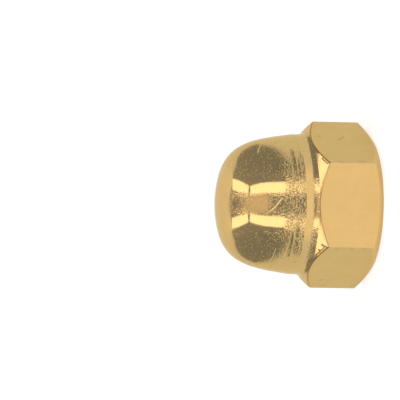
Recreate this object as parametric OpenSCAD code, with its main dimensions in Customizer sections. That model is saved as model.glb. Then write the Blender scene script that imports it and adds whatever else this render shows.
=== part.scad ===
// Domed cap nut, turned and tapped in one piece from hexagonal brass bar.
// It stands on its bearing face. The origin is the centre of that face, and +Z runs
// along the thread's axis to the top of the dome. Two of the flats face -Y and +Y.

/* [Hexagon] */
// Width across the flats
across_flats = 17; // [15:0.5:24]
// Height of the hexagon, from the bearing face to the foot of the collar
hex_h = 7.75; // [5:0.25:8.5]
// How far the edge of the bearing ring lies inside the flats
bearing_inset = 0.44; // [0.2:0.02:1]
// Slope of the corner chamfers on the bearing side, in degrees from the bearing face
bearing_chamfer = 34; // [20:1:45]
// Slope of the corner chamfers on the dome side, in degrees from the bearing face
dome_chamfer = 40; // [25:1:50]

/* [Collar] */
// How far the foot of the collar lies inside the flats
collar_inset = 0.04; // [0.02:0.01:0.3]
// Height of the collar between the chamfers and the dome
collar_h = 0.75; // [0.4:0.05:1.2]
// Taper of the collar, in degrees from the axis
collar_taper = 9.5; // [4:0.5:20]

/* [Dome] */
// Height of the whole nut, from the bearing face to the top of the dome
overall_h = 18; // [16:0.25:24]
// Taper of the dome's straight side, in degrees from the axis
side_taper = 7.6; // [4:0.2:9]
// Radius of the bulge above the straight side
barrel_radius = 18.6; // [16:0.2:20]
// Slope of the dome where the bulge ends, in degrees from the axis
barrel_end = 15.8; // [14:0.2:17]
// Radius of the shoulder above the bulge
shoulder_radius = 7.2; // [6:0.1:8]
// Slope of the dome where the shoulder ends, in degrees from the axis
shoulder_end = 31.3; // [28:0.1:34]
// Radius of the knuckle that turns the side into the crown
knuckle_radius = 4.3; // [3.8:0.1:4.8]
// Slope of the dome where the knuckle ends, in degrees from the axis
knuckle_end = 70.2; // [66:0.2:74]

/* [Threaded hole] */
// Nominal diameter of the thread
thread_d = 10; // [8:0.5:10]
// Pitch of the thread
thread_pitch = 1.25; // [1:0.25:1.5]
// Play that the thread's crests are opened by, on the diameter
crest_play = 0.25; // [0:0.05:0.3]
// Thickness of the dome over the tip of the drill's point
crown_wall = 2.33; // [1.5:0.01:5]
// Full angle of the drill's point at the hole's end
drill_point = 118; // [110:1:140]
// Diameter of the countersink at the bearing face
countersink_d = 12.3; // [11.5:0.1:13.5]
// Full angle of the countersink
countersink_angle = 90; // [80:1:120]
// Diameter where the countersink meets the thread's lead-in, over the thread's own
lead_in_over = 0.8; // [0.2:0.1:1.2]
// Full angle of the lead-in
lead_in_angle = 60; // [50:1:80]

/* [Hidden] */

$fn = 128;
// Turning between one point of an arc and the next, in degrees
arc_step = 2;
// Cuts run this far past the surfaces that they open
overlap = 0.5;
brass = "#d8b26a";

flat_r = across_flats / 2;
corner_r = flat_r / cos(30);
blank_r = corner_r + overlap;
bearing_r = flat_r - bearing_inset;
collar_foot_r = flat_r - collar_inset;
neck_r = collar_foot_r - collar_h * tan(collar_taper);
neck_h = hex_h + collar_h;

// An ISO thread's crests stand 5/8 of its full triangle inside the nominal diameter, on each side
thread_triangle = thread_pitch * sqrt(3) / 2;
hole_r = (thread_d - thread_triangle * 5 / 4 + crest_play) / 2;
countersink_r = countersink_d / 2;
lead_in_r = (thread_d + lead_in_over) / 2;
countersink_depth = (countersink_r - lead_in_r) / tan(countersink_angle / 2);
lead_in_end = countersink_depth + (lead_in_r - hole_r) / tan(lead_in_angle / 2);
point_h = hole_r / tan(drill_point / 2);
hole_depth = overall_h - crown_wall - point_h;

// The dome's outline is a straight side and four arcs, each tangent to the next. The three
// arcs on the side have set radii. The straight side's length and the crown's radius follow
// from the room that they leave, across and up.
function unit(angle) = [cos(angle), sin(angle)];
function arc_width(radius, from, to) = radius * (cos(from) - cos(to));
function arc_height(radius, from, to) = radius * (sin(to) - sin(from));
// The points of an arc, without its last one, which the next stretch of the outline starts with
function arc(centre, radius, from, to) = let (steps = ceil((to - from) / arc_step))
    [for (i = [0 : steps - 1]) centre + radius * unit(from + (to - from) * i / steps)];

room_r = neck_r
    - arc_width(barrel_radius, side_taper, barrel_end)
    - arc_width(shoulder_radius, barrel_end, shoulder_end)
    - arc_width(knuckle_radius, shoulder_end, knuckle_end);
room_h = overall_h - neck_h
    - arc_height(barrel_radius, side_taper, barrel_end)
    - arc_height(shoulder_radius, barrel_end, shoulder_end)
    - arc_height(knuckle_radius, shoulder_end, knuckle_end);
crown_rise = 1 - sin(knuckle_end);
crown_radius = (room_r * cos(side_taper) - room_h * sin(side_taper))
    / (cos(knuckle_end) * cos(side_taper) - crown_rise * sin(side_taper));
side_l = (room_h - crown_radius * crown_rise) / cos(side_taper);

neck = [neck_r, neck_h];
side_top = neck + side_l * [-sin(side_taper), cos(side_taper)];
barrel_centre = side_top - barrel_radius * unit(side_taper);
barrel_top = barrel_centre + barrel_radius * unit(barrel_end);
shoulder_centre = barrel_top - shoulder_radius * unit(barrel_end);
shoulder_top = shoulder_centre + shoulder_radius * unit(shoulder_end);
knuckle_centre = shoulder_top - knuckle_radius * unit(shoulder_end);
crown_centre = [0, overall_h - crown_radius];

// Half of the turned outline: the bearing ring, both corner chamfers, the collar and the dome
module turned_outline() {
    polygon([
        [0, 0],
        [bearing_r, 0],
        [blank_r, (blank_r - bearing_r) * tan(bearing_chamfer)],
        [blank_r, hex_h - (blank_r - collar_foot_r) * tan(dome_chamfer)],
        [collar_foot_r, hex_h],
        neck,
        each arc(barrel_centre, barrel_radius, side_taper, barrel_end),
        each arc(shoulder_centre, shoulder_radius, barrel_end, shoulder_end),
        each arc(knuckle_centre, knuckle_radius, shoulder_end, knuckle_end),
        each arc(crown_centre, crown_radius, knuckle_end, 90),
        [0, overall_h]
    ]);
}

// The hexagonal bar that the nut is turned from, with its corners on the X axis
module hexagon_bar() {
    cylinder(h = overall_h + overlap, r = corner_r, $fn = 6);
}

// The blind hole: countersink, lead-in, the wall at the thread's crests and the drill's point
module threaded_hole() {
    rotate_extrude() polygon([
        [0, -overlap],
        [countersink_r + overlap * tan(countersink_angle / 2), -overlap],
        [lead_in_r, countersink_depth],
        [hole_r, lead_in_end],
        [hole_r, hole_depth],
        [0, hole_depth + point_h]
    ]);
}

module cap_nut() {
    color(brass) difference() {
        intersection() {
            hexagon_bar();
            rotate_extrude() turned_outline();
        }
        threaded_hole();
    }
}

cap_nut();
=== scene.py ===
import math

import bpy
from mathutils import Matrix, Vector


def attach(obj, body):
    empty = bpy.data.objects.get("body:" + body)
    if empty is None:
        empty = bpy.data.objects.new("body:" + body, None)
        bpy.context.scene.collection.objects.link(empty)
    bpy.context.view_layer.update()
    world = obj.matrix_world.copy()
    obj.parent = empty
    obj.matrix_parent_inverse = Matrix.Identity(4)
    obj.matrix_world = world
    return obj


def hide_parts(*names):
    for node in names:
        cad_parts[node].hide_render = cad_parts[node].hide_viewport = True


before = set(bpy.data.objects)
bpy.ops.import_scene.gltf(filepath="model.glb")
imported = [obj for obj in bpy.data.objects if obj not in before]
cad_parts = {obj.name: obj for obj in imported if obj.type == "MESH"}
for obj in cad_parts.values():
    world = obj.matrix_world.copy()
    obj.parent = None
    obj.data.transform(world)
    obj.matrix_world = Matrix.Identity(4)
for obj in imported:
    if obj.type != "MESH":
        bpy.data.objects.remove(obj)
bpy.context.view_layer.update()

# ---------------------------------------------------------------------------------------
# Camera
# It looks at one flat of the nut from a little above the table, and lies on its side, so
# that the dome points to the left. Its long lens draws near and far edges almost alike.
# ---------------------------------------------------------------------------------------
CAMERA_ELEVATION = math.radians(14.65)
CAMERA_DISTANCE = 0.55
CAMERA_LEAN = math.radians(1.1)
FRAME_WIDTH = 0.04713
LOOK_AT_HEIGHT = 0.0055
LOOK_LEFT = 0.0142
LOOK_UP = 0.00056

toward_camera = Vector((0.0, -math.cos(CAMERA_ELEVATION), math.sin(CAMERA_ELEVATION)))
dome_ward = Vector((0.0, math.sin(CAMERA_ELEVATION), math.cos(CAMERA_ELEVATION)))
side_ward = Vector((1.0, 0.0, 0.0))
picture_right = side_ward * math.sin(CAMERA_LEAN) - dome_ward * math.cos(CAMERA_LEAN)
picture_up = side_ward * math.cos(CAMERA_LEAN) + dome_ward * math.sin(CAMERA_LEAN)
look_at = Vector((0.0, 0.0, LOOK_AT_HEIGHT))
eye = look_at + toward_camera * CAMERA_DISTANCE
backward = (eye - look_at + picture_right * LOOK_LEFT - picture_up * LOOK_UP).normalized()
right = (picture_right - backward * picture_right.dot(backward)).normalized()
camera_axes = Matrix((right, backward.cross(right), backward)).transposed()

camera_data = bpy.data.cameras.new("camera")
camera_data.sensor_width = 36.0
camera_data.lens = camera_data.sensor_width * CAMERA_DISTANCE / FRAME_WIDTH
camera_data.clip_start = 0.01
camera_data.clip_end = 10.0
camera = bpy.data.objects.new("camera", camera_data)
camera.matrix_world = Matrix.Translation(eye) @ camera_axes.to_4x4()
bpy.context.collection.objects.link(camera)
bpy.context.scene.camera = camera
bpy.context.scene.view_settings.view_transform = "Standard"

# ---------------------------------------------------------------------------------------
# Table, wall and room
# The nut stands on a white paper table in front of a white wall. The room all round is
# dim, and only reflections show it. To the metal, the table glows brighter in front of
# the nut, a painted pool of lamp light, and darker close round it, a painted shadow.
# ---------------------------------------------------------------------------------------
PAPER_WHITE = (0.62, 0.62, 0.62, 1.0)
SEEN_GLOW = (0.69, 0.69, 0.70, 1.0)
# What the metal mirrors of the paper: the table, the part of it in front of the nut, which
# glows brighter as painted lamp light, the part close round the nut, which glows darker
# as a painted shadow, and the wall
MIRRORED_TABLE = (0.38, 0.475, 0.56, 1.0)
MIRRORED_PAINTED_LIT_FRONT = (0.62, 0.665, 0.69, 1.0)
MIRRORED_PAINTED_SHADOW = (0.45, 0.55, 0.60, 1.0)
MIRRORED_WALL = (0.50, 0.575, 0.665, 1.0)
# Where the painted light in front fades in, by the cosine of the angle off straight ahead,
# and where the painted shadow close round the nut fades out, by the distance from its middle
PAINTED_LIT_FRONT_FADE = (0.45, 0.75)
PAINTED_SHADOW_FADE = (0.0085, 0.0105)
TABLE_HALF = 1.4
TABLE_GAP = 0.00002
WALL_BACK = 0.66
WALL_HALF = 0.594
WALL_TOP = 0.759
# The room's glow, brighter in the middle near the strip lamps, a painted halo of their
# light, and darker at its sides, and the glowing pale ceiling panel in the gap between them
ROOM_RADIUS = 2.2
ROOM_GLOW = (0.31, 0.36, 0.47, 1.0)
ROOM_SIDES = (0.245, 0.295, 0.385, 1.0)
SIDE_REACH = (0.45 * ROOM_RADIUS, 0.98 * ROOM_RADIUS)
GAP_GLOW = (0.26, 0.33, 0.49, 1.0)
PANEL_GLOW = (0.75, 0.75, 0.77, 1.0)
# The panel's foot and head, as (rise, softness) in radians, and its sides in metres
PANEL_FOOT = (math.radians(15), 0.05)
PANEL_HEAD = (math.radians(88), 0.35)
PANEL_SIDE = (0.27 * ROOM_RADIUS, 0.1)
SKY_FILL = 0.35


def add_node(tree, kind, feeds=(), **settings):
    """A new node with its settings, and its inputs fed by (socket, value or output) pairs."""
    node = tree.nodes.new(kind)
    for name, value in settings.items():
        setattr(node, name, value)
    for socket, source in feeds:
        if isinstance(source, bpy.types.NodeSocket):
            tree.links.new(source, node.inputs[socket])
        else:
            node.inputs[socket].default_value = source
    return node


def math_node(tree, operation, *values):
    """The output of one Math node."""
    return add_node(tree, "ShaderNodeMath", enumerate(values), operation=operation).outputs[0]


def vector_maths(tree, operation, output, *values):
    """One output of one Vector Math node."""
    return add_node(
        tree, "ShaderNodeVectorMath", enumerate(values), operation=operation
    ).outputs[output]


def ramp(tree, value, low, high):
    """0 where value is at low or beyond it, and 1 where it is at high."""
    feeds = [("Value", value), ("From Min", low), ("From Max", high)]
    return add_node(tree, "ShaderNodeMapRange", feeds).outputs["Result"]


def mix_colours(tree, share, first, second):
    """The output of a colour mix, which is second where share is 1."""
    feeds = [(0, share), (6, first), (7, second)]
    return add_node(tree, "ShaderNodeMix", feeds, data_type="RGBA").outputs[2]


def mirror_rays(tree):
    """1 for the rays that metal or glass sends out, and 1 for the camera's own."""
    rays = add_node(tree, "ShaderNodeLightPath").outputs
    bounced = math_node(tree, "MAXIMUM", rays["Is Glossy Ray"], rays["Is Transmission Ray"])
    return bounced, rays["Is Camera Ray"]


def white_paper(name, mirrored_back, mirrored_front):
    """White paper that takes shadows. It glows white to the camera, and less in the metal, where it
    glows mirrored_front in front of the nut, on the table painted brighter as lamp light, and
    darker close round the nut, a painted shadow.
    """
    material = bpy.data.materials.new(name)
    material.use_nodes = True
    tree = material.node_tree
    shader = tree.nodes["Principled BSDF"]
    shader.inputs["Base Color"].default_value = PAPER_WHITE
    shader.inputs["Roughness"].default_value = 0.9
    shader.inputs["Specular IOR Level"].default_value = 0.0
    shader.inputs["Emission Strength"].default_value = 1.0
    place = add_node(tree, "ShaderNodeTexCoord").outputs["Object"]
    bearing = vector_maths(tree, "NORMALIZE", "Vector", place)
    ahead = vector_maths(tree, "DOT_PRODUCT", "Value", bearing, (0.0, -1.0, 0.0))
    # Painted light: to the metal, the paper glows brighter in front of the nut
    in_front = ramp(tree, ahead, *PAINTED_LIT_FRONT_FADE)
    mirrored = mix_colours(tree, in_front, mirrored_back, mirrored_front)
    # Painted shadow: to the metal, the paper glows darker close round the nut
    clear = ramp(tree, vector_maths(tree, "LENGTH", "Value", place), *PAINTED_SHADOW_FADE)
    mirrored = mix_colours(tree, clear, MIRRORED_PAINTED_SHADOW, mirrored)
    bounced, seen = mirror_rays(tree)
    glow = mix_colours(tree, bounced, (0.0, 0.0, 0.0, 1.0), mirrored)
    glow = mix_colours(tree, seen, glow, SEEN_GLOW)
    tree.links.new(glow, shader.inputs["Emission Color"])
    return material


def stage_panel(name, corners, material):
    """One flat panel of the set, which is not part of the nut."""
    mesh = bpy.data.meshes.new(name)
    mesh.from_pydata(corners, [], [tuple(range(len(corners)))])
    mesh.materials.append(material)
    panel = bpy.data.objects.new(name, mesh)
    bpy.context.collection.objects.link(panel)


stage_panel(
    "table",
    [
        (-TABLE_HALF, -TABLE_HALF, -TABLE_GAP),
        (TABLE_HALF, -TABLE_HALF, -TABLE_GAP),
        (TABLE_HALF, TABLE_HALF, -TABLE_GAP),
        (-TABLE_HALF, TABLE_HALF, -TABLE_GAP),
    ],
    white_paper("table_paper", MIRRORED_TABLE, MIRRORED_PAINTED_LIT_FRONT),
)
stage_panel(
    "wall",
    [
        (-WALL_HALF, WALL_BACK, 0.0),
        (WALL_HALF, WALL_BACK, 0.0),
        (WALL_HALF, WALL_BACK, WALL_TOP),
        (-WALL_HALF, WALL_BACK, WALL_TOP),
    ],
    white_paper("wall_paper", MIRRORED_WALL, MIRRORED_WALL),
)

room_paint = bpy.data.materials.new("dim_room")
room_paint.use_nodes = True
room_tree = room_paint.node_tree
room_tree.nodes.clear()
room_place = add_node(room_tree, "ShaderNodeTexCoord").outputs["Object"]
room_axes = add_node(room_tree, "ShaderNodeSeparateXYZ", [("Vector", room_place)]).outputs
room_front = math_node(room_tree, "MULTIPLY", room_axes["Y"], -1.0)
room_rise = math_node(room_tree, "ARCTAN2", room_axes["Z"], room_front)
room_side = math_node(room_tree, "ABSOLUTE", room_axes["X"])
at_side = ramp(room_tree, room_side, *SIDE_REACH)
within_sides = ramp(room_tree, room_side, sum(PANEL_SIDE), PANEL_SIDE[0] - PANEL_SIDE[1])
over_foot = ramp(room_tree, room_rise, PANEL_FOOT[0] - PANEL_FOOT[1], sum(PANEL_FOOT))
under_head = ramp(room_tree, room_rise, sum(PANEL_HEAD), PANEL_HEAD[0] - PANEL_HEAD[1])
in_gap = math_node(room_tree, "MULTIPLY", within_sides, under_head)
on_panel = math_node(room_tree, "MULTIPLY", over_foot, in_gap)
# Painted halo: the room glows brighter in the middle, near the strip lamps
room_colour = mix_colours(room_tree, at_side, ROOM_GLOW, ROOM_SIDES)
room_colour = mix_colours(room_tree, in_gap, room_colour, GAP_GLOW)
room_colour = mix_colours(room_tree, on_panel, room_colour, PANEL_GLOW)
room_glow = add_node(room_tree, "ShaderNodeEmission", [("Color", room_colour)])
add_node(room_tree, "ShaderNodeOutputMaterial", [("Surface", room_glow.outputs["Emission"])])
bpy.ops.mesh.primitive_uv_sphere_add(segments=48, ring_count=24, radius=ROOM_RADIUS)
room = bpy.context.object
room.name = "dim_room"
room.data.materials.append(room_paint)
room.visible_camera = False
room.visible_diffuse = False
room.visible_shadow = False

world = bpy.data.worlds.new("white_surround")
world.use_nodes = True
bpy.context.scene.world = world
sky_tree = world.node_tree
sky_mirrored, sky_seen = mirror_rays(sky_tree)
sky_shows = math_node(sky_tree, "MAXIMUM", sky_mirrored, sky_seen)
sky_strength = math_node(sky_tree, "MULTIPLY_ADD", sky_shows, 1.0 - SKY_FILL, SKY_FILL)
sky = sky_tree.nodes["Background"]
sky.inputs["Color"].default_value = (1.0, 1.0, 1.0, 1.0)
sky_tree.links.new(sky_strength, sky.inputs["Strength"])

# ---------------------------------------------------------------------------------------
# Lamps
# Two tall strip lamps stand in front of the nut, one on each side of the camera. Above
# each, a second strip carries on over the nut and back to the top of the wall.
# ---------------------------------------------------------------------------------------
STRIP_MIDDLE = -0.010
STRIP_SIDE = 0.202
STRIP_WIDTH = 0.138
STRIP_RADIANCE = 1.43
FRONT_FOOT = (-0.367, 0.019)
FRONT_HEAD = (-0.284, 0.455)
ROOF_FOOT = (-0.232, 0.490)
ROOF_HEAD = (0.605, 0.744)


def strip_lamp(name, side, foot, head):
    """A flat strip lamp from foot to head, both given as (y, z), which faces the nut."""
    start = Vector((STRIP_MIDDLE + side * STRIP_SIDE, *foot))
    end = Vector((STRIP_MIDDLE + side * STRIP_SIDE, *head))
    along = (end - start).normalized()
    middle = (start + end) / 2
    outward = (middle - along * middle.dot(along)).normalized()
    lamp = bpy.data.lights.new(name, "AREA")
    lamp.shape = "RECTANGLE"
    lamp.size = STRIP_WIDTH
    lamp.size_y = (end - start).length
    lamp.energy = STRIP_RADIANCE * math.pi * lamp.size * lamp.size_y
    strip = bpy.data.objects.new(name, lamp)
    strip_axes = Matrix((along.cross(outward), along, outward)).transposed()
    strip.matrix_world = Matrix.Translation(middle) @ strip_axes.to_4x4()
    strip.visible_camera = False
    bpy.context.collection.objects.link(strip)


for side, word in ((-1, "left"), (1, "right")):
    strip_lamp("front_strip_" + word, side, FRONT_FOOT, FRONT_HEAD)
    strip_lamp("roof_strip_" + word, side, ROOF_FOOT, ROOF_HEAD)

# ---------------------------------------------------------------------------------------
# Cap nut
# It is one piece of brass, turned from drawn hexagonal bar. The lathe leaves the two
# chamfers, the collar and the dome, then the blind hole is drilled, countersunk and tapped.
# ---------------------------------------------------------------------------------------
MM = 0.001
OVERALL_HEIGHT = 17.999
# The bar
FLAT_RADIUS = 8.4995
CORNER_RADIUS = FLAT_RADIUS / math.cos(math.radians(30))
CORNER_SOFTNESS = 0.14
EDGE_ROUNDING = 0.09
EDGE_GROWTH = 0.17
RIM_ROUNDING = 0.05
# The bearing face, and the chamfer round it, which is steepest under the flats
BEARING_RADIUS = 8.06
LOW_EDGE = 0.38
LOW_EDGE_CLIMB = 0.608
LOW_ROUNDING = 0.42
LOW_GROWTH = -0.14
# The chamfer under the dome, which is a little hollow, and the hollow collar above it
COLLAR_FOOT = (8.46, 7.75)
CHAMFER_SLOPE = math.tan(math.radians(39.5))
CHAMFER_HOLLOW = 0.03
FOOT_ROUNDING = 0.03
COLLAR_BEND = (8.25, 8.22)
COLLAR_ROUNDING = 1.9
NECK_TOP = (8.24, 9.28)
NECK_ROUNDING = 0.6
# The dome's arcs, as (radius, elevation of the surface normal at the end)
SIDE_ELEVATION = 8.4
DOME_ARCS = ((20.0, 15.8), (7.2, 31.3), (4.3, 70.2))
# The hole
RIM_RADIUS = 6.15
LEAD_IN = (5.4, 0.75)
BORE_RADIUS = 4.4484
BORE_START = 2.398
BORE_END = 12.997
POINT_TOP = 15.67
# The thread, M10 x 1.25, right-hand. It runs out over its last turns, where the tap's path
# draws in by this many of the thread's depths.
THREAD_RADIUS = 5.0
PITCH = 1.25
THREAD_START = 0.55
THREAD_END = 10.6
RUN_OUT_TURNS = 1.5
RUN_OUT_DEPTHS = 1.2
# The tap's tooth: half its flat tip as a share of the pitch, and its length in depths
HALF_TIP = 1 / 16
TOOTH_LENGTH = 1.25
# The mesh
COLUMNS = 408
CROWDING = 0.6
DOME_STEP = 0.14
HELIX_STEPS = 96
SHARP_ANGLE = 32
# Points this close, in mm, are one: where the sheet closes, and where the thread is cut
SEAM_GAP = 0.001
CUT_GAP = 0.0001
# The finishes, in the order of their materials
BORED, FACED, CHAMFERED, DRAWN, TURNED = range(5)


def straight(start, end, steps, finish):
    """The points after start on the way to end, each (radius, height, finish)."""
    return [
        (
            start[0] + (end[0] - start[0]) * step / steps,
            start[1] + (end[1] - start[1]) * step / steps,
            finish,
        )
        for step in range(1, steps + 1)
    ]


def rounded(before, corner, after, radius, steps, finish):
    """The points of a small round at corner, where the lines from before and to after meet."""
    arrive = (Vector(corner) - Vector(before)).normalized()
    leave = (Vector(after) - Vector(corner)).normalized()
    turn = arrive.angle_signed(leave)
    reach = radius * math.tan(abs(turn) / 2)
    point = Vector(corner) - arrive * reach
    points = [(point.x, point.y, finish)]
    chord = 2 * radius * math.sin(abs(turn) / steps / 2)
    for step in range(steps):
        angle = -turn * (step + 0.5) / steps
        heading = Matrix.Rotation(angle, 2) @ arrive
        point = point + heading * chord
        points.append((point.x, point.y, finish))
    return points


def on_arc(centre, radius, start, end, finish):
    """The points after start on an arc, whose ends are elevations in degrees."""
    steps = max(2, round(math.radians(end - start) * radius / DOME_STEP))
    points = []
    for step in range(1, steps + 1):
        elevation = math.radians(start + (end - start) * step / steps)
        points.append(
            (
                centre[0] + radius * math.cos(elevation),
                centre[1] + radius * math.sin(elevation),
                finish,
            )
        )
    return points


def dome_outline():
    """The dome from the top of the neck to its crown, whose last arc closes on the axis."""
    side = math.radians(SIDE_ELEVATION)
    room = [NECK_TOP[0], OVERALL_HEIGHT - NECK_TOP[1]]
    start = side
    for radius, end in DOME_ARCS:
        end = math.radians(end)
        room[0] -= radius * (math.cos(start) - math.cos(end))
        room[1] -= radius * (math.sin(end) - math.sin(start))
        start = end
    rise = 1 - math.sin(start)
    crown = (room[0] * math.cos(side) - room[1] * math.sin(side)) / (
        math.cos(start) * math.cos(side) - rise * math.sin(side)
    )
    side_length = (room[1] - crown * rise) / math.cos(side)
    place = (
        NECK_TOP[0] - side_length * math.sin(side),
        NECK_TOP[1] + side_length * math.cos(side),
    )
    outline = straight(NECK_TOP, place, round(side_length / DOME_STEP), TURNED)
    start = SIDE_ELEVATION
    for radius, end in (*DOME_ARCS, (crown, 90.0)):
        centre = (
            place[0] - radius * math.cos(math.radians(start)),
            place[1] - radius * math.sin(math.radians(start)),
        )
        outline += on_arc(centre, radius, start, end, TURNED)
        place = outline[-1][:2]
        start = end
    return outline


def hollowed(points, width):
    """The points of the chamfer under the dome, sunk in its middle in step with its width."""
    sunk = []
    for number, (radius, height, finish) in enumerate(points, start=1):
        share = number / (len(points) + 1)
        sunk.append((radius, height - CHAMFER_HOLLOW * width * 4 * share * (1 - share), finish))
    return sunk


def half_section(bar_radius):
    """The nut's outline from the drill point to the crown, where the bar has this radius.

    Each point is (radius, height, finish of the face that follows it).
    """
    rim = (RIM_RADIUS, 0.0)
    bearing = (BEARING_RADIUS, 0.0)
    past_flat = bar_radius - FLAT_RADIUS
    low_edge = (bar_radius, LOW_EDGE + past_flat * LOW_EDGE_CLIMB)
    high_edge = (bar_radius, COLLAR_FOOT[1] - (bar_radius - COLLAR_FOOT[0]) * CHAMFER_SLOPE)
    low_rounding = LOW_ROUNDING + past_flat * LOW_GROWTH
    edge_rounding = EDGE_ROUNDING + past_flat * EDGE_GROWTH
    drill_point = (0.0, POINT_TOP)
    bore_end = (BORE_RADIUS, BORE_END)
    bore_start = (BORE_RADIUS, BORE_START)
    dome = dome_outline()
    outline = [(*drill_point, BORED)]
    outline += straight(drill_point, bore_end, 5, BORED)
    outline += straight(bore_end, bore_start, 8, BORED)
    for before, corner, after, rounding, turns, steps, along, beyond in (
        (bore_start, LEAD_IN, rim, RIM_ROUNDING, 4, 4, BORED, BORED),
        (LEAD_IN, rim, bearing, RIM_ROUNDING, 4, 4, BORED, FACED),
        (rim, bearing, low_edge, EDGE_ROUNDING, 4, 8, FACED, CHAMFERED),
        (bearing, low_edge, high_edge, low_rounding, 6, 4, CHAMFERED, DRAWN),
        (low_edge, high_edge, COLLAR_FOOT, edge_rounding, 6, 28, DRAWN, CHAMFERED),
        (high_edge, COLLAR_FOOT, COLLAR_BEND, FOOT_ROUNDING, 4, 10, CHAMFERED, TURNED),
        (COLLAR_FOOT, COLLAR_BEND, NECK_TOP, COLLAR_ROUNDING, 12, 1, TURNED, TURNED),
        (COLLAR_BEND, NECK_TOP, dome[4][:2], NECK_ROUNDING, 4, 4, TURNED, TURNED),
    ):
        round_off = rounded(before, corner, after, rounding, turns, along)
        way = straight(outline[-1], round_off[0], steps, along)[:-1]
        if corner == COLLAR_FOOT:
            way = hollowed(way, bar_radius - COLLAR_FOOT[0])
        outline += way + round_off
        outline[-1] = (*outline[-1][:2], beyond)
    return outline + dome[1:]


def tree_input(tree, name, kind, value):
    """A named input of the tree, with its usual value."""
    socket = tree.interface.new_socket(name, in_out="INPUT", socket_type="NodeSocket" + kind)
    if value is not None:
        socket.default_value = value
    return socket


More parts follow.
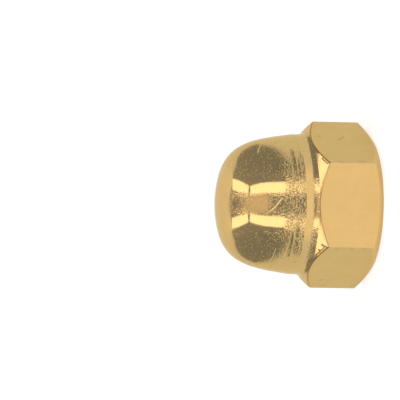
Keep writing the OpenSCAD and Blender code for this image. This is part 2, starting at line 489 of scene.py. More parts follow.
def cap_nut_tree(materials):
    """Turns the half section round the hexagonal bar, and cuts the thread in the hole.

    The mesh it works on is the section through the middle of a flat. Its points carry
    corner_place, where the section through a corner has the same point, and finish.
    """
    tree = bpy.data.node_groups.new("cap_nut", "GeometryNodeTree")
    tree.interface.new_socket("Mesh", in_out="INPUT", socket_type="NodeSocketGeometry")
    for name, kind, value in (
        ("Columns", "Int", COLUMNS),
        ("Crowding", "Float", CROWDING),
        ("Flat Radius", "Float", FLAT_RADIUS * MM),
        ("Corner Softness", "Float", CORNER_SOFTNESS * MM),
        ("Thread Radius", "Float", THREAD_RADIUS * MM),
        ("Bore Radius", "Float", BORE_RADIUS * MM),
        ("Pitch", "Float", PITCH * MM),
        ("Thread Start", "Float", THREAD_START * MM),
        ("Thread End", "Float", THREAD_END * MM),
        ("Run-out Turns", "Float", RUN_OUT_TURNS),
    ):
        tree_input(tree, name, kind, value)
    tree.interface.new_socket("Mesh", in_out="OUTPUT", socket_type="NodeSocketGeometry")
    given = add_node(tree, "NodeGroupInput").outputs

    # One flat sheet: a column for each step round the axis, a row for each section point.
    points = add_node(
        tree, "GeometryNodeAttributeDomainSize", [("Geometry", given["Mesh"])]
    ).outputs["Point Count"]
    sheet = add_node(
        tree,
        "GeometryNodeMeshGrid",
        [
            ("Size X", 1.0),
            ("Size Y", 1.0),
            ("Vertices X", math_node(tree, "ADD", given["Columns"], 1.0)),
            ("Vertices Y", points),
        ],
    ).outputs["Mesh"]
    place = add_node(tree, "GeometryNodeInputPosition").outputs["Position"]
    place = add_node(tree, "ShaderNodeSeparateXYZ", [("Vector", place)]).outputs
    share_round = math_node(tree, "ADD", place["X"], 0.5)
    row = math_node(
        tree,
        "MULTIPLY",
        math_node(tree, "ADD", place["Y"], 0.5),
        math_node(tree, "SUBTRACT", points, 1.0),
    )

    def of_section(name, kind, index):
        """What the section's point of this index holds."""
        if name == "position":
            value = add_node(tree, "GeometryNodeInputPosition").outputs["Position"]
        else:
            value = add_node(
                tree, "GeometryNodeInputNamedAttribute", [("Name", name)], data_type=kind
            ).outputs["Attribute"]
        return add_node(
            tree,
            "GeometryNodeSampleIndex",
            [("Geometry", given["Mesh"]), ("Value", value), ("Index", index)],
            data_type=kind,
            domain="POINT",
        ).outputs["Value"]

    sheet = add_node(
        tree,
        "GeometryNodeStoreNamedAttribute",
        [
            ("Geometry", sheet),
            ("Name", "finish"),
            ("Value", of_section("finish", "INT", math_node(tree, "FLOOR", row))),
        ],
        data_type="INT",
        domain="FACE",
    ).outputs["Geometry"]

    # How far the bar stands out at each column, with the columns crowded at its corners.
    turn = math_node(tree, "MULTIPLY", share_round, math.tau)
    crowd = math_node(tree, "SINE", math_node(tree, "MULTIPLY", turn, 6.0))
    crowd = math_node(tree, "MULTIPLY", crowd, given["Crowding"])
    turn = math_node(tree, "SUBTRACT", turn, math_node(tree, "DIVIDE", crowd, 6.0))
    sixth = math.radians(60)
    from_flat = math_node(tree, "FLOORED_MODULO", turn, sixth)
    from_flat = math_node(tree, "SUBTRACT", from_flat, sixth / 2)
    from_flat = math_node(tree, "ABSOLUTE", from_flat)
    from_next = math_node(tree, "SUBTRACT", sixth, from_flat)
    bar_radius = math_node(
        tree,
        "SMOOTH_MIN",
        math_node(tree, "DIVIDE", given["Flat Radius"], math_node(tree, "COSINE", from_flat)),
        math_node(tree, "DIVIDE", given["Flat Radius"], math_node(tree, "COSINE", from_next)),
        given["Corner Softness"],
    )
    corner_reach = math_node(
        tree, "MULTIPLY", given["Flat Radius"], 1 / math.cos(sixth / 2) - 1
    )
    corner_share = math_node(
        tree,
        "DIVIDE",
        math_node(tree, "SUBTRACT", bar_radius, given["Flat Radius"]),
        corner_reach,
    )

    # Each column is a blend of the two sections, turned to its place round the axis.
    index = math_node(tree, "ROUND", row)
    profile = add_node(
        tree,
        "ShaderNodeMix",
        [
            (0, corner_share),
            (4, of_section("position", "FLOAT_VECTOR", index)),
            (5, of_section("corner_place", "FLOAT_VECTOR", index)),
        ],
        data_type="VECTOR",
        clamp_factor=False,
    ).outputs[1]
    profile = add_node(tree, "ShaderNodeSeparateXYZ", [("Vector", profile)]).outputs
    turned = add_node(
        tree,
        "ShaderNodeCombineXYZ",
        [
            ("X", math_node(tree, "MULTIPLY", profile["X"], math_node(tree, "COSINE", turn))),
            ("Y", math_node(tree, "MULTIPLY", profile["X"], math_node(tree, "SINE", turn))),
            ("Z", profile["Z"]),
        ],
    ).outputs["Vector"]
    body = add_node(
        tree, "GeometryNodeSetPosition", [("Geometry", sheet), ("Position", turned)]
    ).outputs["Geometry"]
    body = add_node(
        tree, "GeometryNodeMergeByDistance", [("Geometry", body), ("Distance", SEAM_GAP * MM)]
    ).outputs["Geometry"]

    # The tap's path: a helix that draws in over its last turns, where the tap's lead was.
    rise = math_node(tree, "SUBTRACT", given["Thread End"], given["Thread Start"])
    turns = math_node(tree, "DIVIDE", rise, given["Pitch"])
    depth = math_node(tree, "SUBTRACT", given["Thread Radius"], given["Bore Radius"])
    helix = add_node(
        tree,
        "GeometryNodeCurveSpiral",
        [
            ("Resolution", HELIX_STEPS),
            ("Rotations", turns),
            ("Start Radius", given["Thread Radius"]),
            ("End Radius", given["Thread Radius"]),
            ("Height", rise),
            ("Reverse", True),
        ],
    ).outputs["Curve"]
    along = add_node(tree, "GeometryNodeSplineParameter").outputs["Factor"]
    run_out = math_node(tree, "DIVIDE", given["Run-out Turns"], turns)
    run_out = add_node(
        tree,
        "ShaderNodeMapRange",
        [
            ("Value", along),
            ("From Min", math_node(tree, "SUBTRACT", 1.0, run_out)),
            ("From Max", 1.0),
            ("To Max", math_node(tree, "MULTIPLY", depth, -RUN_OUT_DEPTHS)),
        ],
    ).outputs["Result"]
    on_helix = add_node(tree, "GeometryNodeInputPosition").outputs["Position"]
    outward = vector_maths(tree, "MULTIPLY", "Vector", on_helix, (1.0, 1.0, 0.0))
    outward = vector_maths(tree, "NORMALIZE", "Vector", outward)
    inward = add_node(
        tree,
        "ShaderNodeVectorMath",
        [(0, outward), ("Scale", run_out)],
        operation="SCALE",
    ).outputs["Vector"]
    lifted = add_node(
        tree, "ShaderNodeCombineXYZ", [("Z", given["Thread Start"])]
    ).outputs["Vector"]
    shift = vector_maths(tree, "ADD", "Vector", inward, lifted)
    helix = add_node(
        tree, "GeometryNodeSetPosition", [("Geometry", helix), ("Offset", shift)]
    ).outputs["Geometry"]
    helix = add_node(
        tree, "GeometryNodeSetCurveNormal", [("Curve", helix)], mode="Z_UP"
    ).outputs["Curve"]

    # The tap's tooth, a 60 degree V with a narrow flat tip. Its back points to the axis.
    tip = math_node(tree, "MULTIPLY", given["Pitch"], -HALF_TIP)
    back = math_node(tree, "MULTIPLY", depth, -TOOTH_LENGTH)
    spread = math_node(tree, "MULTIPLY", back, math.tan(math.radians(30)))
    wide = math_node(tree, "ADD", tip, spread)
    corners = []
    for number, (reach, side, sign) in enumerate(
        ((0.0, tip, 1.0), (0.0, tip, -1.0), (back, wide, -1.0), (back, wide, 1.0)), start=1
    ):
        feeds = [("X", reach), ("Y", math_node(tree, "MULTIPLY", side, sign))]
        corner = add_node(tree, "ShaderNodeCombineXYZ", feeds).outputs["Vector"]
        corners.append((f"Point {number}", corner))
    tooth = add_node(
        tree, "GeometryNodeCurvePrimitiveQuadrilateral", corners, mode="POINTS"
    ).outputs["Curve"]
    cutter = add_node(
        tree,
        "GeometryNodeCurveToMesh",
        [("Curve", helix), ("Profile Curve", tooth), ("Fill Caps", True)],
    ).outputs["Mesh"]
    body = add_node(
        tree,
        "GeometryNodeMeshBoolean",
        [("Mesh 1", body), ("Mesh 2", cutter)],
        operation="DIFFERENCE",
        solver="EXACT",
    ).outputs["Mesh"]
    body = add_node(
        tree, "GeometryNodeMergeByDistance", [("Geometry", body), ("Distance", CUT_GAP * MM)]
    ).outputs["Geometry"]

    body = add_node(
        tree, "GeometryNodeRealizeInstances", [("Geometry", body)]
    ).outputs["Geometry"]
    finish = add_node(
        tree, "GeometryNodeInputNamedAttribute", [("Name", "finish")], data_type="INT"
    ).outputs["Attribute"]
    for number, material in enumerate(materials):
        same = add_node(
            tree,
            "FunctionNodeCompare",
            [(2, finish), (3, number)],
            data_type="INT",
            operation="EQUAL",
        ).outputs["Result"]
        body = add_node(
            tree,
            "GeometryNodeSetMaterial",
            [("Geometry", body), ("Selection", same), ("Material", material)],
        ).outputs["Geometry"]
    add_node(tree, "NodeGroupOutput", [("Mesh", body)])
    return tree


# Its finishes: plain brass, left as the tools made it. The turned dome is bright but pitted,
# the flats are smooth as drawn, the faces cut across are dull, and the bore keeps its
# drill's rings. Handling has scratched the dome and nicked the corners.
BRASS = (0.80, 0.50, 0.185)
# The hole's brass, painted deeper and darker as the shade inside it
HOLE_SHADE_BRASS = (0.80, 0.43, 0.13)
# Dark brass for real stains and for painted shade
STAIN_AND_SHADE_BRASS = (0.33, 0.22, 0.10)
EDGE_TINT = (1.0, 0.86, 0.62)
# Blotches, as (cells to the metre, from, to, detail), and how much of the colour they leave
TARNISH = (380.0, 0.35, 0.75, 3.0)
TARNISHED = 0.95
FINE_GRAIN = (7000.0, 0.3, 0.7, 2.0)


def blotches(tree, place, scale, low, high, detail=2.0):
    """Noise blotches, scale to the metre, that are 0 below low and 1 above high."""
    feeds = [("Vector", place), ("Scale", scale), ("Detail", detail), ("Roughness", 0.6)]
    noise = add_node(tree, "ShaderNodeTexNoise", feeds).outputs["Fac"]
    return ramp(tree, noise, low, high)


def roughened(tree, place, scale, depth, share=1.0):
    """The height of a rough surface about a mean of 0, in metres, with scale cells to the metre."""
    feeds = [("Vector", place), ("Scale", scale), ("Detail", 2.0), ("Roughness", 0.6)]
    noise = add_node(tree, "ShaderNodeTexNoise", feeds).outputs["Fac"]
    height = math_node(tree, "MULTIPLY", math_node(tree, "SUBTRACT", noise, 0.5), depth)
    return math_node(tree, "MULTIPLY", height, share)


def stretched(tree, place, stretch):
    """The place with each axis multiplied, which draws a pattern out along the small ones."""
    return vector_maths(tree, "MULTIPLY", "Vector", place, stretch)


def off_axis(tree, place):
    """How far the place is from the thread's axis."""
    return vector_maths(tree, "LENGTH", "Value", stretched(tree, place, (1.0, 1.0, 0.0)))


def band(tree, value, low, high, soft):
    """1 between low and high, and 0 outside them, over a soft edge."""
    rises = ramp(tree, value, low - soft, low + soft)
    falls = ramp(tree, value, high + soft, high - soft)
    return math_node(tree, "MULTIPLY", rises, falls)


def line_mark(tree, place, start, end, width):
    """1 along the line from start to end, in mm, and 0 from a width off it."""
    start = start * MM
    span = end * MM - start
    offset = vector_maths(tree, "SUBTRACT", "Vector", place, tuple(start))
    along = vector_maths(tree, "DOT_PRODUCT", "Value", offset, tuple(span / span.length_squared))
    feeds = [(0, tuple(span)), ("Scale", ramp(tree, along, 0.0, 1.0))]
    nearest = add_node(tree, "ShaderNodeVectorMath", feeds, operation="SCALE").outputs["Vector"]
    away = vector_maths(tree, "DISTANCE", "Value", offset, nearest)
    return ramp(tree, away, width * MM, 0.0)


def most(tree, values):
    """The largest of several values."""
    result = values[0]
    for value in values[1:]:
        result = math_node(tree, "MAXIMUM", result, value)
    return result


def new_brass(name):
    """A brass material with its tree, its shader, and the place on the nut."""
    material = bpy.data.materials.new(name)
    material.use_nodes = True
    tree = material.node_tree
    shader = tree.nodes["Principled BSDF"]
    shader.inputs["Metallic"].default_value = 1.0
    shader.inputs["Specular Tint"].default_value = (*EDGE_TINT, 1.0)
    place = add_node(tree, "ShaderNodeTexCoord").outputs["Object"]
    return material, tree, shader, place


def coloured(tree, shader, place, colour, stain_and_shade, changed=0.0, new_colour=BRASS):
    """The base colour: brass a little darker in blotches, and dark where stain_and_shade is 1,
    which is real stain in some places and painted shade in others.

    Where changed is 1 it is new_colour.
    """
    darker = tuple(value * TARNISHED for value in colour)
    tone = mix_colours(tree, blotches(tree, place, *TARNISH), (*colour, 1.0), (*darker, 1.0))
    tone = mix_colours(tree, changed, tone, (*new_colour, 1.0))
    tone = mix_colours(tree, stain_and_shade, tone, (*STAIN_AND_SHADE_BRASS, 1.0))
    tree.links.new(tone, shader.inputs["Base Color"])


def dulled(tree, shader, share, bright, dull):
    """The roughness, which is bright where share is 0 and dull where it is 1."""
    roughness = math_node(tree, "MULTIPLY_ADD", share, dull - bright, bright)
    tree.links.new(roughness, shader.inputs["Roughness"])


def raised(tree, shader, *heights):
    """Bump of the heights together, in metres."""
    height = heights[0]
    for more in heights[1:]:
        height = math_node(tree, "ADD", height, more)
    feeds = [("Height", height), ("Distance", 1.0), ("Strength", 1.0)]
    bump = add_node(tree, "ShaderNodeBump", feeds)
    tree.links.new(bump.outputs["Normal"], shader.inputs["Normal"])


# The dome and collar. Their pits and grain are (cells to the metre, depth in metres).
TURNED_ROUGHNESS = (0.07, 0.37)
PITTED_BRASS = (0.37, 0.27, 0.12)
GRAIN = (5600.0, 8.0e-6)
HIGHLIGHT_STRIPE_GRAIN = 0.4
PITS = (4700.0, 3.7e-5)
FEWEST_PITS = 0.15
PIT_DIRT = (0.5, 0.36)
PATCHES = (450.0, 0.1, 0.5, 1.0)
MICRO_PITS = (14000.0, 0.6, 0.75, 1.0)
# Where it is pitted most, as (place in mm, reach in mm, how deep, how dirty)
PITTED_SPOTS = (
    ((0.0, -5.2, 16.7), 2.0, 1.0, 0.4),
    ((0.0, -7.7, 12.2), 1.9, 1.0, 0.8),
    ((-3.4, -7.1, 12.9), 2.0, 1.0, 0.8),
    ((4.4, -6.9, 11.8), 1.2, 1.0, 1.0),
    ((-4.8, -6.9, 8.1), 2.6, 3.6, 0.5),
    ((0.0, -8.4, 8.1), 1.6, 1.0, 0.5),
    ((3.1, -7.8, 8.1), 1.4, 1.0, 0.9),
)
# The tool tore the lower dome in front: from and to as heights, how far round, and how dirty
TORN_BAND = (9.4, 12.2)
TORN_ROUND = (24.0, 30.0)
TORN_DIRT = 0.8
CLEAN_BAND = (8.5, 9.25)
# Stray deep pits, as (cells to the metre, from, to, detail), and their depth
DEEP_PITS = (5200.0, 0.64, 0.72, 1.0)
DEEP_PIT_DEPTH = 1.8e-5
# Two stripes in front, where the strip lamps' highlights fall, kept clean of pit dirt as a
# painted highlight, and smoother: how far off the middle, and the height they start at,
# each with how soft that edge is
HIGHLIGHT_STRIPE_OFF = (1.25, 3.1)
HIGHLIGHT_STRIPE_OFF_SOFT = 0.2
HIGHLIGHT_STRIPE_FROM = 11.6
HIGHLIGHT_STRIPE_FROM_SOFT = 0.3
# Deeper lines left by the turning tool, as (height, width, start, stop), the last two in
# degrees from the front. They are also painted dark, as the shade in their grooves.
TOOL_LINES = (
    (9.38, 0.09, 22.0, 40.0),
    (9.57, 0.11, 20.0, 46.0),
    (10.0, 0.13, 24.0, 36.0),
    (10.5, 0.26, 24.0, 50.0),
    (10.13, 0.32, -42.0, -19.0),
    (10.75, 0.22, -47.0, -27.0),
)
TOOL_LINE_SOFT = 4.0
TOOL_LINE_DEPTH = 3.0e-5
TOOL_LINE_PAINTED_SHADE = 0.75
# The lines are broken up by blotches that are drawn out round the nut
BREAK_STRETCH = (1800.0, 1800.0, 7000.0)
BREAKS = (0.4, 0.5)
# Scratches, as (depth, points), each point being (degrees round from the front, height)
DOME_SCRATCHES = (
    (2.7e-5, (5, 12.15), (-2, 12.85), (-8.5, 13.7)),
    (4.6e-5, (69, 13.4), (62.5, 13.95), (55, 14.25)),
    (5.5e-5, (-42, 12.25), (-53, 12.35), (-60, 12.35)),
    (1.4e-5, (-16.5, 10.5), (-14.5, 9.6)),
)
SCRATCH_WIDTH = 0.075
# A scratch is straight between its points, so they are lifted to keep its middle on the dome
SCRATCH_LIFT = 0.02


def round_axis(degrees, off_axis, height, along=0.0):
    """The place this many degrees round from the front. Along is square to the other two."""
    return Matrix.Rotation(math.radians(degrees), 3, "Z") @ Vector((along, -off_axis, height))


def on_dome(degrees, height):
    """The place of a scratch's point, in mm."""
    outline = dome_outline()
    below, above = next(
        pair for pair in zip(outline, outline[1:]) if pair[0][1] <= height <= pair[1][1]
    )
    share = (height - below[1]) / (above[1] - below[1])
    radius = below[0] + (above[0] - below[0]) * share
    return round_axis(degrees, radius + SCRATCH_LIFT, height)


def highlight_stripes(tree, across, front, height):
    """1 in the two stripes in front of the dome where the strip lamps' highlights fall, which are
    kept clean of pit dirt as a painted highlight.
    """
    low, high = HIGHLIGHT_STRIPE_OFF
    stripes = band(
        tree, math_node(tree, "ABSOLUTE", across), low * MM, high * MM, HIGHLIGHT_STRIPE_OFF_SOFT * MM
    )
    stripes = math_node(tree, "MULTIPLY", stripes, math_node(tree, "GREATER_THAN", front, 0.0))
    low = (HIGHLIGHT_STRIPE_FROM - HIGHLIGHT_STRIPE_FROM_SOFT) * MM
    high = (HIGHLIGHT_STRIPE_FROM + HIGHLIGHT_STRIPE_FROM_SOFT) * MM
    return math_node(tree, "MULTIPLY", stripes, ramp(tree, height, low, high))


def pitted_places(tree, place, angle, height):
    """How deep the pits are over the dome, and how dirty, both from 0 up."""
    deep = []
    dirty = []
    for centre, reach, how_deep, how_dirty in PITTED_SPOTS:
        away = vector_maths(tree, "DISTANCE", "Value", place, tuple(v * MM for v in centre))
        spot = ramp(tree, away, reach * MM, reach * MM * 0.6)
        deep.append(math_node(tree, "MULTIPLY", spot, how_deep))
        dirty.append(math_node(tree, "MULTIPLY", spot, how_dirty))
    low, high = TORN_BAND
    torn = band(tree, height, low * MM, high * MM, 0.3 * MM)
    start, stop = (math.radians(value) for value in TORN_ROUND)
    in_front = ramp(tree, math_node(tree, "ABSOLUTE", angle), stop, start)
    torn = math_node(tree, "MULTIPLY", torn, in_front)
    deep.append(torn)
    dirty.append(math_node(tree, "MULTIPLY", torn, TORN_DIRT))
    deep = math_node(tree, "MULTIPLY_ADD", most(tree, deep), 1.0 - FEWEST_PITS, FEWEST_PITS)
    return deep, most(tree, dirty)


def tool_lines(tree, place, angle, height):
    """1 in the deeper lines left by the turning tool."""
    lines = []
    for level, width, start, stop in TOOL_LINES:
        away = math_node(tree, "ABSOLUTE", math_node(tree, "SUBTRACT", height, level * MM))
        line = ramp(tree, away, width * MM, width * MM / 3)
        start, stop, soft = (math.radians(value) for value in (start, stop, TOOL_LINE_SOFT))
        lines.append(math_node(tree, "MULTIPLY", line, band(tree, angle, start, stop, soft)))
    broken = blotches(tree, stretched(tree, place, BREAK_STRETCH), 1.0, *BREAKS)
    return math_node(tree, "MULTIPLY", most(tree, lines), broken)


def turned_brass():
    """Bright turned brass with pits, stripes kept clean as a painted highlight where the lamps'
    highlights fall, tool lines painted dark as their shade, and scratches.
    """
    material, tree, shader, place = new_brass("turned_brass")
    axes = add_node(tree, "ShaderNodeSeparateXYZ", [("Vector", place)]).outputs
    height = axes["Z"]
    front = math_node(tree, "MULTIPLY", axes["Y"], -1.0)
    angle = math_node(tree, "ARCTAN2", axes["X"], front)
    in_highlight_stripes = highlight_stripes(tree, axes["X"], front, height)
    scratches = []
    fresh = []
    for depth, *points in DOME_SCRATCHES:
        points = [on_dome(*point) for point in points]
        for start, end in zip(points, points[1:]):
            scratch = line_mark(tree, place, start, end, SCRATCH_WIDTH)
            scratches.append(math_node(tree, "MULTIPLY", scratch, depth))
            fresh.append(math_node(tree, "GREATER_THAN", scratch, 0.0))
    low, high = CLEAN_BAND
    clean = band(tree, height, low * MM, high * MM, 0.1 * MM)
    # Painted highlight: no pit dirt in the stripes where the lamps' highlights fall
    left_pitted = math_node(tree, "SUBTRACT", 1.0, most(tree, [in_highlight_stripes, clean, *fresh]))
    patchy = math_node(tree, "MULTIPLY", blotches(tree, place, *PATCHES), left_pitted)
    deep, dirty = pitted_places(tree, place, angle, height)
    feeds = [("Vector", place), ("Scale", PITS[0]), ("Detail", 1.0), ("Roughness", 0.5)]
    pits = add_node(tree, "ShaderNodeTexNoise", feeds).outputs["Fac"]
    pit_height = math_node(
        tree,
        "MULTIPLY",
        math_node(tree, "SUBTRACT", pits, 0.5),
        math_node(tree, "MULTIPLY", deep, patchy),
    )
    dirt_and_shade = math_node(
        tree,
        "MULTIPLY",
        ramp(tree, pits, *PIT_DIRT),
        math_node(tree, "MULTIPLY", dirty, patchy),
    )
    deep_pits = blotches(tree, place, *DEEP_PITS)
    deep_pits = math_node(
        tree, "MULTIPLY", deep_pits, math_node(tree, "SUBTRACT", 1.0, in_highlight_stripes)
    )
    lines = tool_lines(tree, place, angle, height)
    # Painted shade: the tool lines are darkened in colour
    stain_and_shade = math_node(tree, "MULTIPLY", lines, TOOL_LINE_PAINTED_SHADE)
    coloured(tree, shader, place, BRASS, stain_and_shade, dirt_and_shade, PITTED_BRASS)
    dulled(tree, shader, blotches(tree, place, *MICRO_PITS), *TURNED_ROUGHNESS)
    grain_share = math_node(tree, "MULTIPLY_ADD", in_highlight_stripes, HIGHLIGHT_STRIPE_GRAIN - 1.0, 1.0)
    raised(
        tree,
        shader,
        roughened(tree, place, *GRAIN, grain_share),
        math_node(tree, "MULTIPLY", pit_height, PITS[1]),
        math_node(tree, "MULTIPLY", deep_pits, -DEEP_PIT_DEPTH),
        math_node(tree, "MULTIPLY", lines, -TOOL_LINE_DEPTH),
        math_node(tree, "MULTIPLY", most(tree, scratches), -1.0),
    )
    return material


# The chamfers. Half-way up the bar they part, and the upper one's steps turn its shine up.
CHAMFER_ROUGHNESS = (0.12, 0.18)
CHAMFER_GRAIN = (6000.0, 9.0e-6)
HALF_WAY = 4.0
TOOL_LIFT = math.tan(math.radians(8))
# Where the upper one meets the side flats: a dark line painted in the edge, as the rounded
# edge's dark reflection, and a broken burr inside it, at so far in, so wide and so high
EDGE_PAINTED_DARK_LINE = 0.15
BURR = (0.23, 0.09, 2.1e-5)
BURR_BREAKS = (1500.0, 0.35, 0.5)
# Towards the corners it rolls back to the front: from and to off the middle, and how high
ROLLED_BACK = (2.6, 6.0)
ROLL_HEIGHT = 2.5e-4
# Nicks in its tips, as (start, end), each being (degrees round, off the axis, height)
CHAMFER_NICKS = (
    ((-31, 9.0, 7.25), (-31, 9.5, 6.8)),
    ((-37, 8.8, 7.45), (-36, 9.0, 7.25)),
)
CHAMFER_NICK_DEPTH = 2.5e-5
NICK_WIDTH = 0.13


def chamfered_brass():
    """The two chamfers. Fine tool steps turn the upper one's shine up, above its slope."""
    material, tree, shader, place = new_brass("chamfered_brass")
    axes = add_node(tree, "ShaderNodeSeparateXYZ", [("Vector", place)]).outputs
    front = math_node(tree, "ABSOLUTE", axes["Y"])
    across = math_node(tree, "ABSOLUTE", axes["X"])
    slanted = math_node(tree, "MULTIPLY", across, math.sin(math.radians(60)))
    slanted = math_node(tree, "MULTIPLY_ADD", front, math.cos(math.radians(60)), slanted)
    inset = math_node(tree, "SUBTRACT", FLAT_RADIUS * MM, most(tree, [front, slanted]))
    upper = math_node(tree, "GREATER_THAN", axes["Z"], HALF_WAY * MM)
    at_side = math_node(tree, "MULTIPLY", math_node(tree, "GREATER_THAN", slanted, front), upper)
    # Painted reflection: a dark line along the edge to the side flats
    dirt_and_shade = ramp(tree, inset, EDGE_PAINTED_DARK_LINE * MM, EDGE_PAINTED_DARK_LINE * MM * 0.6)
    dirt_and_shade = math_node(tree, "MULTIPLY", dirt_and_shade, at_side)
    nicks = []
    for start, end in CHAMFER_NICKS:
        ends = round_axis(*start), round_axis(*end)
        nicks.append(line_mark(tree, place, *ends, NICK_WIDTH))
    nicks = most(tree, nicks)
    coloured(tree, shader, place, BRASS, math_node(tree, "MAXIMUM", dirt_and_shade, nicks))
    dulled(tree, shader, blotches(tree, place, *FINE_GRAIN), *CHAMFER_ROUGHNESS)
    burr_inset, burr_width, burr_height = BURR
    off_burr = math_node(tree, "SUBTRACT", inset, burr_inset * MM)
    burr = ramp(tree, math_node(tree, "ABSOLUTE", off_burr), burr_width * MM, 0.0)
    broken = math_node(tree, "MULTIPLY", blotches(tree, place, *BURR_BREAKS), burr_height)
    burr = math_node(tree, "MULTIPLY", burr, broken)
    start, stop = ROLLED_BACK
    rolled = math_node(tree, "POWER", ramp(tree, across, start * MM, stop * MM), 2.0)
    rolled = math_node(tree, "MULTIPLY", rolled, upper)
    lift = math_node(tree, "MULTIPLY", upper, TOOL_LIFT)
    raised(
        tree,
        shader,
        roughened(tree, place, *CHAMFER_GRAIN),
        math_node(tree, "MULTIPLY", off_axis(tree, place), lift),
        math_node(tree, "MULTIPLY", burr, at_side),
        math_node(tree, "MULTIPLY", rolled, ROLL_HEIGHT),
        math_node(tree, "MULTIPLY", nicks, -CHAMFER_NICK_DEPTH),
    )
    return material


# The flats. The top of the side flats is painted a deeper orange, as the reflection of
# their rolled edge, which sets in between these two distances under the chamfer's arc.
# From the second one up, a dark line is painted, as the rounded edge's dark reflection.
DRAWN_ROUGHNESS = (0.20, 0.26)
DRAWN_WAVES = (2500.0, 3.0e-6)
DRAW_LINES = (5000.0, 2.0e-6)
DRAW_STRETCH = (1.0, 1.0, 0.05)
ROLLED_EDGE_REFLECTION_BRASS = (0.86, 0.47, 0.125)
ROLLED_EDGE_BAND = (0.33, 0.08)
ARC_PAINTED_DARK_LINE = 0.5
SIDE_FROM = 4.95
# Dull streaks left by the die
STREAKS = (1500.0, 0.5, 0.75, 4.0)
STREAK_STRETCH = (1.0, 1.0, 0.35)
STREAK_STAIN = 0.06
# Nicks, as (the flat's degrees round, start, end), both being (along from its middle, height)
FLAT_NICKS = (
    (60, (1.4, 6.9), (1.25, 6.5)),
    (60, (0.5, 4.5), (1.25, 3.7)),
    (60, (-4.7, 5.5), (-4.75, 5.0)),
    (60, (-4.4, 3.1), (-4.5, 2.4)),
    (-60, (4.4, 5.7), (4.45, 5.5)),
    (-60, (4.6, 3.9), (4.6, 3.75)),
    (-60, (4.65, 2.35), (4.65, 2.2)),
    (-60, (-3.0, 5.85), (-2.85, 5.55)),
)
FLAT_NICK_DEPTH = 1.2e-5
FLAT_NICK_STAIN = 0.7


def drawn_brass():
    """The smooth flats of drawn bar, with faint draw lines along it, a few nicks, and a painted
    orange band and dark line under the chamfer's arc, as the reflection of its rolled edge.
    """
    material, tree, shader, place = new_brass("drawn_brass")
    nicks = []
    for degrees, *ends in FLAT_NICKS:
        ends = [round_axis(degrees, FLAT_RADIUS, height, along) for along, height in ends]
        nicks.append(line_mark(tree, place, *ends, NICK_WIDTH))
    nicks = most(tree, nicks)
    axes = add_node(tree, "ShaderNodeSeparateXYZ", [("Vector", place)]).outputs
    arc = math_node(tree, "MULTIPLY_ADD", off_axis(tree, place), CHAMFER_SLOPE, axes["Z"])
    top = (COLLAR_FOOT[1] + COLLAR_FOOT[0] * CHAMFER_SLOPE) * MM
    below = math_node(tree, "SUBTRACT", top, arc)
    across = math_node(tree, "ABSOLUTE", axes["X"])
    at_side = math_node(tree, "GREATER_THAN", across, SIDE_FROM * MM)
    # Painted reflection: a deeper orange band along the top of the side flats
    in_rolled_edge_reflection = ramp(tree, below, ROLLED_EDGE_BAND[0] * MM, ROLLED_EDGE_BAND[1] * MM)
    in_rolled_edge_reflection = math_node(tree, "MULTIPLY", in_rolled_edge_reflection, at_side)
    # Painted reflection: a dark line under the chamfer's arc
    dirt_and_shade = ramp(tree, below, ROLLED_EDGE_BAND[1] * MM, 0.0)
    streaks = blotches(tree, stretched(tree, place, STREAK_STRETCH), *STREAKS)
    stain_and_shade = most(
        tree,
        [
            math_node(tree, "MULTIPLY", nicks, FLAT_NICK_STAIN),
            math_node(tree, "MULTIPLY", dirt_and_shade, ARC_PAINTED_DARK_LINE),
            math_node(tree, "MULTIPLY", streaks, STREAK_STAIN),
        ],
    )
    coloured(tree, shader, place, BRASS, stain_and_shade, in_rolled_edge_reflection, ROLLED_EDGE_REFLECTION_BRASS)
    dulled(tree, shader, blotches(tree, place, *FINE_GRAIN), *DRAWN_ROUGHNESS)
    raised(
        tree,
        shader,
        roughened(tree, place, *DRAWN_WAVES),
        roughened(tree, stretched(tree, place, DRAW_STRETCH), *DRAW_LINES),
        math_node(tree, "MULTIPLY", nicks, -FLAT_NICK_DEPTH),
    )
    return material


# The bearing face
FACED_ROUGHNESS = (0.3, 0.5)
FACED_STAINS = (2500.0, 0.47, 0.7, 3.0)
FACED_DULLNESS = (6000.0, 0.5, 0.68, 3.0)
FACED_PITS = (4500.0, 2.0e-5)
TOOL_RINGS = (9000.0, 4.0e-6)


def faced_brass():
    """The bearing face: dull, pitted, and scored in rings by the tool that cut it off."""
    material, tree, shader, place = new_brass("faced_brass")
    coloured(tree, shader, place, BRASS, blotches(tree, place, *FACED_STAINS))
    dulled(tree, shader, blotches(tree, place, *FACED_DULLNESS), *FACED_ROUGHNESS)
    outward = [("X", off_axis(tree, place))]
    outward = add_node(tree, "ShaderNodeCombineXYZ", outward).outputs["Vector"]
    raised(
        tree,
        shader,
        roughened(tree, outward, *TOOL_RINGS),
        roughened(tree, place, *FACED_PITS),
    )
    return material


# The hole
BORED_ROUGHNESS = (0.16, 0.24)
DRILL_STRETCH = (150.0, 150.0, 9000.0)
DRILL_RINGS = (0.4, 0.75)
DRILL_RING_DEPTH = 3.0e-6


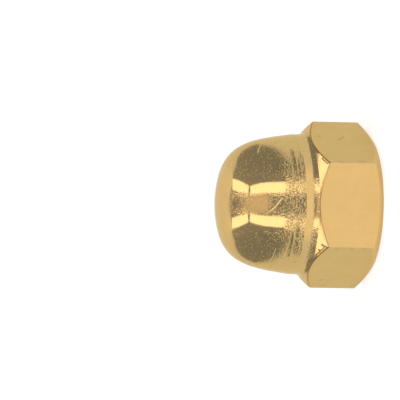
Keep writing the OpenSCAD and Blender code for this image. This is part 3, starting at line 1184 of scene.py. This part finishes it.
def bored_brass():
    """The countersink, the thread and the bore, with fine rings left by their tools, in brass
    painted deeper and darker as the shade inside the hole.
    """
    material, tree, shader, place = new_brass("bored_brass")
    coloured(tree, shader, place, HOLE_SHADE_BRASS, 0.0)
    rings = blotches(tree, stretched(tree, place, DRILL_STRETCH), 1.0, *DRILL_RINGS)
    dulled(tree, shader, rings, *BORED_ROUGHNESS)
    raised(tree, shader, math_node(tree, "MULTIPLY", rings, -DRILL_RING_DEPTH))
    return material


finishes = [bored_brass(), faced_brass(), chamfered_brass(), drawn_brass(), turned_brass()]
flat_section = half_section(FLAT_RADIUS)
corner_section = half_section(CORNER_RADIUS)
blank_mesh = bpy.data.meshes.new("half_section")
blank_mesh.from_pydata(
    [(radius * MM, 0.0, height * MM) for radius, height, finish in flat_section],
    [(index, index + 1) for index in range(len(flat_section) - 1)],
    [],
)
corner_place = blank_mesh.attributes.new("corner_place", "FLOAT_VECTOR", "POINT")
corner_place.data.foreach_set(
    "vector",
    [value * MM for radius, height, finish in corner_section for value in (radius, 0.0, height)],
)
finish_of = blank_mesh.attributes.new("finish", "INT", "POINT")
finish_of.data.foreach_set("value", [finish for radius, height, finish in corner_section])
blank = bpy.data.objects.new("cap_nut_blank", blank_mesh)
bpy.context.collection.objects.link(blank)
turning = blank.modifiers.new("turning", "NODES")
turning.node_group = cap_nut_tree(finishes)
shaped = blank.evaluated_get(bpy.context.evaluated_depsgraph_get())
nut_mesh = bpy.data.meshes.new_from_object(shaped)
bpy.data.objects.remove(blank)
nut_mesh.name = "brass_cap_nut"
nut = bpy.data.objects.new("brass_cap_nut", nut_mesh)
bpy.context.collection.objects.link(nut)
nut_mesh.shade_smooth()
nut_mesh.set_sharp_from_angle(angle=math.radians(SHARP_ANGLE))
if nut_mesh.materials[0] is None:
    material_of = [face.material_index - 1 for face in nut_mesh.polygons]
    nut_mesh.materials.pop(index=0)
    nut_mesh.polygons.foreach_set("material_index", material_of)

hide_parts("cap_nut")
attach(nut, "root")
